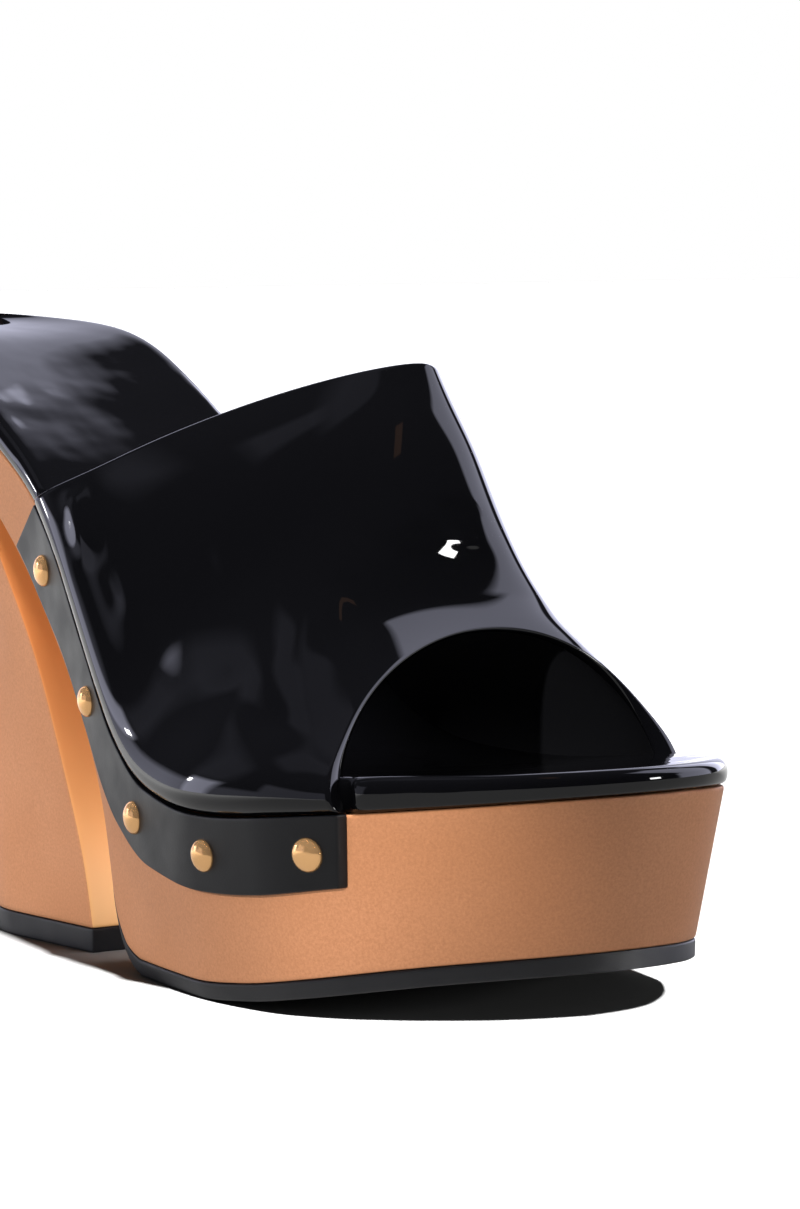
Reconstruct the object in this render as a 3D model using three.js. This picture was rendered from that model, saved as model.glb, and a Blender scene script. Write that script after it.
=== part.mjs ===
// Slip-on platform sandal for the right foot: a wood-look sole unit with a block heel, a padded insole,
// a wide glossy band with an open toe, and a studded strip along each side.
// Millimetres. +X points to the toe, +Y to the wearer's left (the inner side), +Z up.

import * as THREE from 'three';
import { mergeVertices } from 'three/addons/utils/BufferGeometryUtils.js';

// Driving dimensions
const soleLength = 222;
const ballWidth = 88.4;
const seatHeight = 118.5;
const ballHeight = 34.7;
const toeLift = 7.2;
const toeSpring = 10.2;
const outsoleThickness = 3.1;
const outsoleLip = 0.9;
const outsoleInset = 0.8;
const heelLength = 55;
const heelWidth = 54;
const heelFoot = 31;
const heelTopThickness = 4.7;
const insoleThickness = 4.8;
const insoleOverhang = 0.6;
const insoleDish = 1.2;
const insoleTuck = 1.9;
const upperWall = 1.9;
const throatRise = 81.2;
const rollDepth = 3;
const rollHeight = 4.2;
const rollFade = 9;
const footProud = 0.8;
const stripDepth = 13.5;
const stripThickness = 2;
const stripBevel = 0.6;
const studDiameter = 6.2;
const studHeight = 1.8;
const studRim = 0.4;
const studDepth = 7;
const fitGap = 0.3;

// Draft of the moulded sole unit, from the top edge to the underside
const sideDraft = 0.065;
const toeDraft = 6.5;

// Where the band stands on the sole, as shares of the sole's length
const bandSpan = {
  outer: { back: 0.342, front: 0.846 },
  inner: { back: 0.388, front: 0.795 },
};

// Where the studded strips run, measured along the sole's top edge
const stripSpan = {
  outer: { back: 0.345, front: 0.847 },
  inner: { back: 0.392, front: 0.79 },
};
const studShares = [0.075, 0.25, 0.449, 0.697, 0.946];
const heelFront = 0.186;
const heelRound = 0.45;

// Plan of the sole's top edge: half-widths as shares of the ball width, on the outer and inner side
const outline = [
  { station: 0, outer: 0, inner: 0 },
  { station: 0.03, outer: 0.147, inner: 0.148 },
  { station: 0.08, outer: 0.249, inner: 0.24 },
  { station: 0.16, outer: 0.322, inner: 0.29 },
  { station: 0.28, outer: 0.333, inner: 0.285 },
  { station: 0.4, outer: 0.381, inner: 0.275 },
  { station: 0.5, outer: 0.423, inner: 0.32 },
  { station: 0.6, outer: 0.475, inner: 0.407 },
  { station: 0.68, outer: 0.504, inner: 0.469 },
  { station: 0.76, outer: 0.494, inner: 0.502 },
  { station: 0.84, outer: 0.437, inner: 0.478 },
  { station: 0.91, outer: 0.33, inner: 0.4 },
  { station: 0.96, outer: 0.205, inner: 0.302 },
  { station: 0.99, outer: 0.068, inner: 0.195 },
  { station: 1, outer: -0.058, inner: 0.058 },
];

// Side view of the sole's top: rise as a share of seat over ball height, lift as a share of the toe lift
const topProfile = [
  { station: 0, rise: 1, lift: 0 },
  { station: 0.09, rise: 0.962, lift: 0 },
  { station: 0.18, rise: 0.855, lift: 0 },
  { station: 0.25, rise: 0.75, lift: 0 },
  { station: 0.315, rise: 0.645, lift: 0 },
  { station: 0.383, rise: 0.508, lift: 0 },
  { station: 0.45, rise: 0.293, lift: 0 },
  { station: 0.518, rise: 0.099, lift: 0 },
  { station: 0.586, rise: 0.02, lift: 0 },
  { station: 0.676, rise: 0, lift: 0 },
  { station: 0.833, rise: 0, lift: 0.42 },
  { station: 1, rise: 0, lift: 1 },
];

// Side view of the wood's underside: the seat and waist, the platform's back wall, then the toe spring
const underProfile = [
  { station: 0, rise: 0.882, spring: 0 },
  { station: 0.09, rise: 0.852, spring: 0 },
  { station: 0.19, rise: 0.76, spring: 0 },
  { station: 0.24, rise: 0.692, spring: 0 },
  { station: 0.292, rise: 0.602, spring: 0 },
  { station: 0.336, rise: 0.522, spring: 0 },
  { station: 0.388, rise: 0.425, spring: 0 },
  { station: 0.434, rise: 0.298, spring: 0 },
  { station: 0.456, rise: 0.205, spring: 0 },
  { station: 0.469, rise: 0.112, spring: 0 },
  { station: 0.474, rise: 0.076, spring: 0 },
  { station: 0.483, rise: 0.045, spring: 0 },
  { station: 0.496, rise: 0.019, spring: 0 },
  { station: 0.513, rise: 0.005, spring: 0 },
  { station: 0.53, rise: 0, spring: 0 },
  { station: 0.64, rise: 0, spring: 0 },
  { station: 0.72, rise: 0, spring: 0.135 },
  { station: 0.79, rise: 0, spring: 0.35 },
  { station: 0.92, rise: 0, spring: 0.78 },
  { station: 1, rise: 0, spring: 1 },
];
const lipStation = 0.469;

// Side view of the heel block: how far its front and back have moved towards their places on the floor
const heelProfile = [
  { level: 0, front: 0, back: 0 },
  { level: 0.19, front: 0.256, back: 0.3 },
  { level: 0.4, front: 0.538, back: 0.57 },
  { level: 0.64, front: 0.762, back: 0.79 },
  { level: 0.86, front: 0.935, back: 0.94 },
  { level: 1, front: 1, back: 1 },
];

// Sections of the band, from the collar to the toe opening. Crests are shares of sole length, ball width
// and throat rise; run is the share of the band's span on the sole; a fullness of 2 is an ellipse.
const bandSections = [
  { share: 0, run: 0, crest: 0.671, side: 0.095, rise: 1, outer: 1.46, inner: 1.95 },
  { share: 0.25, run: 0.245, crest: 0.717, side: 0.085, rise: 0.815, outer: 1.9, inner: 2.15 },
  { share: 0.5, run: 0.485, crest: 0.742, side: 0.075, rise: 0.635, outer: 2, inner: 2.05 },
  { share: 0.75, run: 0.745, crest: 0.747, side: 0.073, rise: 0.501, outer: 2, inner: 2.1 },
  { share: 1, run: 1, crest: 0.76, side: 0.062, rise: 0.403, outer: 1.82, inner: 2.28 },
];

// Thickness of the padded insole along its outer and inner side, as a share of the insole thickness
const paddingProfile = [
  { station: 0.55, outer: 1, inner: 1 },
  { station: 0.76, outer: 1.4, inner: 1.15 },
  { station: 0.86, outer: 1.38, inner: 1.15 },
  { station: 0.95, outer: 1.12, inner: 1.05 },
  { station: 1, outer: 1, inner: 1 },
];

// Height of the seam between band and strip over the sole's top edge, as a share of the insole thickness
const seamProfile = [
  { station: 0.3, lift: 0.75 },
  { station: 0.45, lift: 0.65 },
  { station: 0.55, lift: 0.4 },
  { station: 0.63, lift: 0.2 },
  { station: 0.72, lift: 0.1 },
  { station: 0.86, lift: 0.06 },
];

// The strips, by share of their run: lag of the lower edge behind the upper one as a share of the sole
// length, and depth as a share of the strip depth
const stripProfile = [
  { run: 0, lag: 0.055, depth: 1.01 },
  { run: 0.108, lag: 0.04, depth: 1.2 },
  { run: 0.206, lag: 0.03, depth: 1.12 },
  { run: 0.304, lag: 0.025, depth: 1.08 },
  { run: 0.402, lag: 0.02, depth: 1.01 },
  { run: 0.5, lag: 0.01, depth: 0.98 },
  { run: 0.657, lag: 0, depth: 1 },
  { run: 0.833, lag: 0, depth: 1.02 },
  { run: 1, lag: 0, depth: 0.97 },
];

// Mesh fineness
const soleStations = 40;
const bandRows = 22;
const bandColumns = 42;
const columnCrowding = 0.6;
const stripSteps = 34;
const heelSteps = 12;

const sides = { outer: -1, inner: 1 };

function mix(from, to, share) {
  return from + (to - from) * share;
}

// Turns a share of the length into an angle, which spreads stations evenly round both rounded ends
function around(station) {
  return Math.acos(1 - 2 * Math.min(Math.max(station, 0), 1));
}

// Curve through the rows of a table that never overshoots them
function curveThrough(rows, key, value, warp = (number) => number) {
  const at = rows.map((row) => warp(row[key]));
  const height = rows.map((row) => row[value]);
  const last = at.length - 1;
  const rises = at.slice(1).map((next, i) => (height[i + 1] - height[i]) / (next - at[i]));
  const slopes = at.map((_, i) => {
    if (i === 0) return rises[0];
    if (i === last) return rises[last - 1];
    if (rises[i - 1] * rises[i] <= 0) return 0;
    return (2 * rises[i - 1] * rises[i]) / (rises[i - 1] + rises[i]);
  });
  return (input) => {
    const place = Math.min(Math.max(warp(input), at[0]), at[last]);
    const found = at.findIndex((next, i) => i > 0 && place <= next);
    const i = Math.max(found, 1) - 1;
    const width = at[i + 1] - at[i];
    const t = (place - at[i]) / width;
    const ease = t * t * (3 - 2 * t);
    const startPull = t * (1 - t) * (1 - t) * width * slopes[i];
    const endPull = t * t * (t - 1) * width * slopes[i + 1];
    return mix(height[i], height[i + 1], ease) + startPull + endPull;
  };
}

const outlineShare = {
  outer: curveThrough(outline, 'station', 'outer', around),
  inner: curveThrough(outline, 'station', 'inner', around),
};
const topRise = curveThrough(topProfile, 'station', 'rise');
const topLift = curveThrough(topProfile, 'station', 'lift');
const underRise = curveThrough(underProfile, 'station', 'rise');
const underSpring = curveThrough(underProfile, 'station', 'spring');
const seamShare = curveThrough(seamProfile, 'station', 'lift');
const padding = {
  outer: curveThrough(paddingProfile, 'station', 'outer'),
  inner: curveThrough(paddingProfile, 'station', 'inner'),
};

const woodFloor = outsoleThickness + fitGap;

function halfWidth(station, side) {
  return outlineShare[side](station) * ballWidth;
}

function woodTop(station) {
  return ballHeight + (seatHeight - ballHeight) * topRise(station) + toeLift * topLift(station);
}

function woodUnder(station) {
  return woodFloor + (seatHeight - woodFloor) * underRise(station) + toeSpring * underSpring(station);
}

function seamHeight(station) {
  return woodTop(station) + insoleThickness * seamShare(station);
}

// Point on the sole unit's wall, level 0 at its top edge and 1 at its underside
function wallPoint(station, side, level) {
  const toeward = THREE.MathUtils.smoothstep(station, 0.7, 1);
  const width = halfWidth(station, side) * (1 - sideDraft * level);
  const x = station * soleLength - toeDraft * level * toeward;
  const z = mix(woodTop(station), woodUnder(station), level);
  return new THREE.Vector3(x, sides[side] * width, z);
}

// Stations round the whole sole, closer together at both ends, with extra ones where a form turns
function soleRun(from, to, count, extras = []) {
  const start = around(from);
  const end = around(to);
  const spread = Array.from({ length: count + 1 }, (_, i) => (1 - Math.cos(mix(start, end, i / count))) / 2);
  const inside = extras.filter((station) => station > from && station < to);
  const near = (station) => inside.some((extra) => Math.abs(extra - station) < 0.002);
  const kept = spread.filter((station, i) => i === 0 || i === count || !near(station));
  return [...kept, ...inside].sort((one, other) => one - other);
}

// Closed geometry from points and faces: joins doubles, drops slivers and turns the faces outward
function closedGeometry(points, faces) {
  const loose = new THREE.BufferGeometry();
  const numbers = points.flatMap((point) => point.toArray());
  loose.setAttribute('position', new THREE.Float32BufferAttribute(numbers, 3));
  loose.setIndex(faces.flat());
  const joined = mergeVertices(loose, 1e-3);
  const index = joined.getIndex().array;
  const position = joined.getAttribute('position');
  const corner = (i) => new THREE.Vector3().fromBufferAttribute(position, i);
  const kept = [];
  let volume = 0;
  for (let i = 0; i < index.length; i += 3) {
    const [a, b, c] = [index[i], index[i + 1], index[i + 2]];
    if (a !== b && b !== c && c !== a) {
      kept.push([a, b, c]);
      volume += corner(a).dot(corner(b).cross(corner(c)));
    }
  }
  const outward = volume < 0 ? kept.map(([a, b, c]) => [a, c, b]) : kept;
  joined.setIndex(outward.flat());
  joined.computeVertexNormals();
  return joined;
}

// Solid through closed rings of equal length; each end is closed by strips between opposite points
function ringSolid(rings) {
  const count = rings[0].length;
  const faces = [];
  for (let r = 0; r + 1 < rings.length; r += 1) {
    for (let i = 0; i < count; i += 1) {
      const j = (i + 1) % count;
      const near = r * count;
      const far = near + count;
      faces.push([near + i, near + j, far + j], [near + i, far + j, far + i]);
    }
  }
  const end = (rings.length - 1) * count;
  for (let i = 0; 2 * i + 2 < count; i += 1) {
    const k = count - 1 - i;
    faces.push([k, k - 1, i + 1], [k, i + 1, i]);
    faces.push([end + i, end + i + 1, end + k - 1], [end + i, end + k - 1, end + k]);
  }
  return closedGeometry(rings.flat(), faces);
}

// Solid between an outer and an inner grid of points, closed round all four edges
function shellSolid(outer, inner) {
  const rows = outer.length;
  const columns = outer[0].length;
  const skin = rows * columns;
  const faces = [];
  const at = (row, column) => row * columns + column;
  for (let r = 0; r + 1 < rows; r += 1) {
    for (let c = 0; c + 1 < columns; c += 1) {
      const [p, q, s, t] = [at(r, c), at(r, c + 1), at(r + 1, c + 1), at(r + 1, c)];
      faces.push([p, q, s], [p, s, t]);
      faces.push([skin + p, skin + s, skin + q], [skin + p, skin + t, skin + s]);
    }
  }
  const border = [];
  for (let c = 0; c + 1 < columns; c += 1) border.push(at(0, c));
  for (let r = 0; r + 1 < rows; r += 1) border.push(at(r, columns - 1));
  for (let c = columns - 1; c > 0; c -= 1) border.push(at(rows - 1, c));
  for (let r = rows - 1; r > 0; r -= 1) border.push(at(r, 0));
  border.forEach((p, i) => {
    const q = border[(i + 1) % border.length];
    faces.push([p, skin + q, q], [p, skin + p, skin + q]);
  });
  return closedGeometry([...outer.flat(), ...inner.flat()], faces);
}

// Sole unit: heel seat, waist and platform in one moulding
function platformGeometry() {
  const turns = underProfile.map((row) => row.station).filter((station) => station > 0.42 && station < 0.54);
  const levels = [0, 0.33, 0.67, 1];
  const rings = soleRun(0, 1, soleStations, turns).map((station) => [
    ...levels.map((level) => wallPoint(station, 'outer', level)),
    ...levels.toReversed().map((level) => wallPoint(station, 'inner', level)),
  ]);
  return ringSolid(rings);
}

// Outsole: a sheet under the platform, drawn up its back wall and thinned to a lip
function outsoleGeometry() {
  const turns = underProfile.map((row) => row.station).filter((station) => station > 0.42 && station < 0.54);
  const stations = soleRun(lipStation, 1, soleStations, turns);
  const under = (station) => new THREE.Vector2(wallPoint(station, 'outer', 1).x, woodUnder(station));
  const rings = stations.map((station) => {
    const step = 0.004;
    const ahead = under(Math.min(station + step, 1));
    const behind = under(Math.max(station - step, lipStation));
    const along = ahead.sub(behind).normalize();
    const away = new THREE.Vector2(along.y, -along.x);
    const grown = THREE.MathUtils.smoothstep(station, lipStation, 0.52);
    const thickness = mix(outsoleLip, outsoleThickness, grown);
    const corners = [fitGap, fitGap + thickness * 0.5, fitGap + thickness].map((depth, i) => {
      const at = under(station).addScaledVector(away, depth);
      const inset = i === 0 ? 0 : outsoleInset * i * 0.5;
      return { at, scale: 1 - sideDraft - inset / (ballWidth / 2) };
    });
    const edge = (side) => corners.map(({ at, scale }) => {
      const y = sides[side] * halfWidth(station, side) * scale;
      return new THREE.Vector3(at.x, y, at.y);
    });
    return [...edge('outer'), ...edge('inner').toReversed()];
  });
  return ringSolid(rings);
}

// Outline of the heel block at a level, 0 under the seat and 1 on the top piece
function heelRing(level, height) {
  const front = curveThrough(heelProfile, 'level', 'front')(level);
  const back = curveThrough(heelProfile, 'level', 'back')(level);
  const backX = mix(0, heelFoot, back);
  const frontX = mix(heelFront * soleLength, heelFoot + heelLength, front);
  const stations = soleRun(0, heelFront, heelSteps).toReversed();
  const point = (station, side) => {
    const seat = wallPoint(station, side, 1);
    const share = station / heelFront;
    const bow = Math.sqrt(1 - (1 - Math.min(share / heelRound, 1)) ** 2);
    const y = mix(seat.y, sides[side] * (heelWidth / 2) * bow, THREE.MathUtils.smoothstep(level, 0, 1));
    const z = height ?? mix(seat.z - fitGap, heelTopThickness + fitGap, level);
    return new THREE.Vector3(mix(backX, frontX, share), y, z);
  };
  const outerEdge = stations.map((station) => point(station, 'outer'));
  const innerEdge = stations.slice(0, -1).toReversed().map((station) => point(station, 'inner'));
  return [...outerEdge, ...innerEdge];
}

function heelGeometry() {
  const levels = Array.from({ length: heelSteps + 1 }, (_, i) => i / heelSteps);
  return ringSolid(levels.map((level) => heelRing(level)));
}

function heelTopGeometry() {
  return ringSolid([heelRing(1, heelTopThickness), heelRing(1, 0)]);
}

// The insole overhangs the sole's edge where it shows and draws in where the band passes round it
function insoleReach(station, side) {
  const { back, front } = bandSpan[side];
  const turn = 1.2 / soleLength;
  const clear = fitGap / soleLength;
  const covered = THREE.MathUtils.smoothstep(station, back - clear - turn, back - clear)
    * (1 - THREE.MathUtils.smoothstep(station, front + clear, front + clear + turn));
  const tucked = footProud - upperWall - insoleTuck;
  return mix(insoleOverhang, tucked, covered);
}

// Padded insole with a rounded rim and a shallow dish
function insoleGeometry() {
  const rim = [
    { height: 0, inset: 1 },
    { height: 0.18, inset: 0.2 },
    { height: 0.5, inset: 0 },
    { height: 0.8, inset: 0.3 },
    { height: 1, inset: 1.8 },
  ];
  const tread = [0.85, 0.6, 0.3, 0];
  const turn = 1.2 / soleLength;
  const edges = Object.values(bandSpan).flatMap(({ back, front }) => [
    back - turn * 1.3, back - turn * 0.6, back, front, front + turn * 0.6, front + turn * 1.3]);
  const rings = soleRun(0, 1, soleStations, edges).map((station) => {
    const base = woodTop(station) + fitGap;
    const crown = base + (insoleThickness * (padding.outer(station) + padding.inner(station))) / 2;
    const edge = (side) => {
      const half = halfWidth(station, side);
      const thickness = insoleThickness * padding[side](station);
      const place = (inset, height) => {
        const reach = insoleReach(station, side) - inset;
        const scale = 1 + reach / (ballWidth / 2);
        const x = soleLength / 2 + (station - 0.5) * (soleLength + 2 * reach);
        return new THREE.Vector3(x, sides[side] * half * scale, base + height);
      };
      const bend = rim.map(({ inset, height }) => place(inset, thickness * height));
      const top = bend.at(-1);
      const across = tread.map((share) => {
        const bowl = share * share;
        const height = mix(crown - insoleDish, top.z, bowl);
        return new THREE.Vector3(top.x, top.y * share, height);
      });
      return [...bend, ...across];
    };
    const middle = edge('outer');
    return [...middle, ...edge('inner').slice(0, -1).toReversed()];
  });
  return ringSolid(rings);
}

// Point where the band meets the strip
function bandFoot(station, side) {
  const y = sides[side] * (halfWidth(station, side) + footProud);
  return new THREE.Vector3(station * soleLength, y, seamHeight(station) + fitGap);
}

// How far the roll stands out at a height over the band's foot: a quarter round, then a fading slope
function rollOut(height) {
  if (height < rollHeight) return Math.sqrt(1 - (1 - height / rollHeight) ** 2);
  return Math.exp(-(((height - rollHeight) / rollFade) ** 2));
}

// Skin of the band as a grid: a row for each section, columns from the outer to the inner foot and
// closer at both feet, with a rounded roll of the given depth along both feet
function bandSkin(roll) {
  const curve = (key) => curveThrough(bandSections, 'share', key);
  const run = curve('run');
  const full = { outer: curve('outer'), inner: curve('inner') };
  const crestAt = (share) => new THREE.Vector3(
    curve('crest')(share) * soleLength,
    curve('side')(share) * ballWidth,
    ballHeight + curve('rise')(share) * throatRise,
  );
  return Array.from({ length: bandRows + 1 }, (_, r) => {
    const share = r / bandRows;
    const foot = {};
    for (const side of Object.keys(sides)) {
      const { back, front } = bandSpan[side];
      foot[side] = bandFoot(mix(back, front, run(share)), side);
    }
    const crest = crestAt(share);
    const along = (crest.y - foot.outer.y) / (foot.inner.y - foot.outer.y);
    const middle = foot.outer.clone().lerp(foot.inner, along);
    const rise = crest.clone().sub(middle);
    return Array.from({ length: bandColumns + 1 }, (_, c) => {
      const turn = 2 * Math.PI * (c / bandColumns);
      const angle = (turn - columnCrowding * Math.sin(turn)) / 2;
      const side = c * 2 <= bandColumns ? 'outer' : 'inner';
      const reach = foot[side].clone().sub(middle);
      const spread = Math.abs(Math.cos(angle)) ** (2 / full[side](share));
      const lift = Math.sin(angle) ** (2 / full[side](share));
      const point = middle.clone().addScaledVector(reach, spread).addScaledVector(rise, lift);
      point.y += sides[side] * roll * rollOut(point.distanceTo(foot[side]));
      return point;
    });
  });
}

// Band: one wall, open at the collar and at the toe, thicker where its lower edge is rolled
function bandGeometry() {
  const outer = bandSkin(rollDepth);
  const plain = bandSkin(0);
  const rows = plain.length - 1;
  const columns = plain[0].length - 1;
  const inner = plain.map((row, r) => row.map((point, c) => {
    const ahead = plain[Math.min(r + 1, rows)][c].clone().sub(plain[Math.max(r - 1, 0)][c]);
    const across = row[Math.min(c + 1, columns)].clone().sub(row[Math.max(c - 1, 0)]);
    const inward = across.cross(ahead).normalize();
    const within = point.clone().addScaledVector(inward, upperWall);
    if (c === 0 || c === columns) within.z = point.z;
    return within;
  }));
  return shellSolid(outer, inner);
}

// Strip point: run along the strip, drop 0 at its upper edge and 1 at its lower edge, proud of the wall
function stripPoint(side, run, drop, proud) {
  const { back, front } = stripSpan[side];
  const lag = curveThrough(stripProfile, 'run', 'lag')(run);
  const depth = curveThrough(stripProfile, 'run', 'depth')(run) * stripDepth;
  const upper = mix(back, front, run);
  const lower = upper - lag;
  const level = depth / (woodTop(lower) - woodUnder(lower));
  const low = wallPoint(lower, side, level);
  const high = wallPoint(upper, side, 0);
  high.z = seamHeight(upper) - fitGap;
  const point = high.lerp(low, drop);
  point.y += sides[side] * proud;
  return point;
}

function stripGeometry(side) {
  const bevel = stripBevel / stripDepth;
  const face = fitGap + stripThickness;
  const rings = Array.from({ length: stripSteps + 1 }, (_, i) => {
    const run = i / stripSteps;
    const end = i === 0 || i === stripSteps ? stripBevel : 0;
    return [
      stripPoint(side, run, 0, fitGap),
      stripPoint(side, run, 0, face - stripBevel),
      stripPoint(side, run, bevel, face - end),
      stripPoint(side, run, 1 - bevel, face - end),
      stripPoint(side, run, 1, face - stripBevel),
      stripPoint(side, run, 1, fitGap),
    ];
  });
  return ringSolid(rings);
}

// Domed stud with a short straight rim, turned about Z
function studGeometry() {
  const radius = studDiameter / 2;
  const dome = studHeight - studRim;
  const profile = [new THREE.Vector2(0, 0), new THREE.Vector2(radius, 0)];
  const steps = 4;
  for (let i = 0; i <= steps; i += 1) {
    const angle = (Math.PI / 2) * (i / steps);
    const width = i === steps ? 0 : radius * Math.cos(angle);
    profile.push(new THREE.Vector2(width, studRim + dome * Math.sin(angle)));
  }
  const turned = new THREE.LatheGeometry(profile, 14);
  turned.deleteAttribute('normal');
  turned.deleteAttribute('uv');
  const points = [];
  const position = turned.getAttribute('position');
  for (let i = 0; i < position.count; i += 1) {
    const [x, y, z] = [position.getX(i), position.getY(i), position.getZ(i)];
    points.push(new THREE.Vector3(x, -z, y));
  }
  const index = turned.getIndex().array;
  const faces = [];
  for (let i = 0; i < index.length; i += 3) faces.push([index[i], index[i + 1], index[i + 2]]);
  return closedGeometry(points, faces);
}

// Seats a stud square on the strip's face
function seatStud(mesh, side, run) {
  const face = fitGap + stripThickness;
  const drop = studDepth / stripDepth;
  const nudge = 0.01;
  const seat = stripPoint(side, run, drop, face);
  const along = stripPoint(side, run + nudge, drop, face).sub(stripPoint(side, run - nudge, drop, face));
  const down = stripPoint(side, run, drop + 0.1, face).sub(seat);
  const normal = along.cross(down).normalize();
  if (normal.y * sides[side] < 0) normal.negate();
  mesh.quaternion.setFromUnitVectors(new THREE.Vector3(0, 0, 1), normal);
  mesh.position.copy(seat).addScaledVector(normal, fitGap);
}

const finishes = {
  wood: { color: 0xcf8f60, roughness: 0.6, metalness: 0 },
  patent: { color: 0x060607, roughness: 0.08, metalness: 0 },
  strip: { color: 0x1b1c1e, roughness: 0.45, metalness: 0 },
  rubber: { color: 0x141415, roughness: 0.65, metalness: 0 },
  stud: { color: 0xd9a85c, roughness: 0.2, metalness: 1 },
};

function makePiece(name, geometry, finish) {
  const mesh = new THREE.Mesh(geometry, new THREE.MeshStandardMaterial(finishes[finish]));
  mesh.name = name;
  return mesh;
}

function makeSandal() {
  const sandal = new THREE.Group();
  sandal.add(makePiece('outsole', outsoleGeometry(), 'rubber'));
  sandal.add(makePiece('platform', platformGeometry(), 'wood'));
  sandal.add(makePiece('heel', heelGeometry(), 'wood'));
  sandal.add(makePiece('heel_top_piece', heelTopGeometry(), 'rubber'));
  sandal.add(makePiece('insole', insoleGeometry(), 'patent'));
  sandal.add(makePiece('upper', bandGeometry(), 'patent'));
  for (const side of Object.keys(sides)) {
    sandal.add(makePiece(`rand_strip_${side}`, stripGeometry(side), 'strip'));
    studShares.forEach((run, i) => {
      const stud = makePiece(`stud_${side}_${i + 1}`, studGeometry(), 'stud');
      seatStud(stud, side, run);
      sandal.add(stud);
    });
  }
  const box = new THREE.Box3().setFromObject(sandal);
  const middle = box.getCenter(new THREE.Vector3());
  sandal.position.set(-middle.x, -middle.y, -box.min.z);
  return sandal;
}

export default makeSandal();
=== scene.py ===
import math

import bmesh
import bpy
import numpy as np
from mathutils import Matrix, Vector


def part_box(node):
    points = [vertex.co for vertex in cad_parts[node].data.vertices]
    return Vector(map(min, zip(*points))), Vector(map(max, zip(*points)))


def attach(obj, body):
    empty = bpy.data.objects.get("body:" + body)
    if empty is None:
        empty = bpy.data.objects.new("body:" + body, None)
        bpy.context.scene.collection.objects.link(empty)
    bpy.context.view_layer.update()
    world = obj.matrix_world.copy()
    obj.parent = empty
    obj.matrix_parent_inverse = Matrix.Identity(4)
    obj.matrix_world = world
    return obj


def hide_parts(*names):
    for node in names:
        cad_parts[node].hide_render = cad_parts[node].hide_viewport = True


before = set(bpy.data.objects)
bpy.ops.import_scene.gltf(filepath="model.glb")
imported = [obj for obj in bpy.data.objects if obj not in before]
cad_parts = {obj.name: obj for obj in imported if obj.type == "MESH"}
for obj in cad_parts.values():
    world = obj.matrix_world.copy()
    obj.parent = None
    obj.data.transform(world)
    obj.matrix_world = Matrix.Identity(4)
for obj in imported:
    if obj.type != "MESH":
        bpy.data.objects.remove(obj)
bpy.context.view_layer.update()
print("frame loaded:", len(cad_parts), "nodes")

# Slip-on platform sandal, right shoe. Sizes are in millimetres, in the sole's own frame: x runs from
# the heel to the toe, the outer side is at -y, and toFrame puts a point where the frame has it.
mm = 0.001
sides = {"outer": -1, "inner": 1}

sole = {
    "length": 222,
    "ballWidth": 88.4,
    "seatHeight": 118.5,
    "ballHeight": 34.7,
    "toeLift": 7.2,
    "toeSpring": 10.2,
    "sideDraft": 0.065,
    "toeDraft": 6.5,
    "outline": [  # half-widths as shares of the ball width
        {"station": 0, "outer": 0, "inner": 0},
        {"station": 0.03, "outer": 0.147, "inner": 0.148},
        {"station": 0.08, "outer": 0.249, "inner": 0.24},
        {"station": 0.16, "outer": 0.322, "inner": 0.29},
        {"station": 0.28, "outer": 0.333, "inner": 0.285},
        {"station": 0.4, "outer": 0.381, "inner": 0.275},
        {"station": 0.5, "outer": 0.423, "inner": 0.32},
        {"station": 0.6, "outer": 0.475, "inner": 0.407},
        {"station": 0.68, "outer": 0.504, "inner": 0.469},
        {"station": 0.76, "outer": 0.494, "inner": 0.502},
        {"station": 0.84, "outer": 0.437, "inner": 0.478},
        {"station": 0.91, "outer": 0.33, "inner": 0.4},
        {"station": 0.96, "outer": 0.205, "inner": 0.302},
        {"station": 0.99, "outer": 0.068, "inner": 0.195},
        {"station": 1, "outer": -0.058, "inner": 0.058},
    ],
    "top": [  # rise is a share of seat over ball height, lift a share of the toe lift
        {"station": 0, "rise": 1, "lift": 0},
        {"station": 0.09, "rise": 0.962, "lift": 0},
        {"station": 0.18, "rise": 0.855, "lift": 0},
        {"station": 0.25, "rise": 0.75, "lift": 0},
        {"station": 0.315, "rise": 0.645, "lift": 0},
        {"station": 0.383, "rise": 0.508, "lift": 0},
        {"station": 0.45, "rise": 0.293, "lift": 0},
        {"station": 0.518, "rise": 0.099, "lift": 0},
        {"station": 0.586, "rise": 0.02, "lift": 0},
        {"station": 0.676, "rise": 0, "lift": 0},
        {"station": 0.833, "rise": 0, "lift": 0.42},
        {"station": 1, "rise": 0, "lift": 1},
    ],
    "under": [  # rise is a share of the seat height over the outsole, spring a share of the toe spring
        {"station": 0, "rise": 0.882, "spring": 0},
        {"station": 0.09, "rise": 0.852, "spring": 0},
        {"station": 0.19, "rise": 0.76, "spring": 0},
        {"station": 0.24, "rise": 0.692, "spring": 0},
        {"station": 0.292, "rise": 0.602, "spring": 0},
        {"station": 0.336, "rise": 0.522, "spring": 0},
        {"station": 0.388, "rise": 0.425, "spring": 0},
        {"station": 0.434, "rise": 0.298, "spring": 0},
        {"station": 0.456, "rise": 0.205, "spring": 0},
        {"station": 0.469, "rise": 0.112, "spring": 0},
        {"station": 0.474, "rise": 0.076, "spring": 0},
        {"station": 0.483, "rise": 0.045, "spring": 0},
        {"station": 0.496, "rise": 0.019, "spring": 0},
        {"station": 0.513, "rise": 0.005, "spring": 0},
        {"station": 0.53, "rise": 0, "spring": 0},
        {"station": 0.64, "rise": 0, "spring": 0},
        {"station": 0.72, "rise": 0, "spring": 0.135},
        {"station": 0.79, "rise": 0, "spring": 0.35},
        {"station": 0.92, "rise": 0, "spring": 0.78},
        {"station": 1, "rise": 0, "spring": 1},
    ],
}

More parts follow.
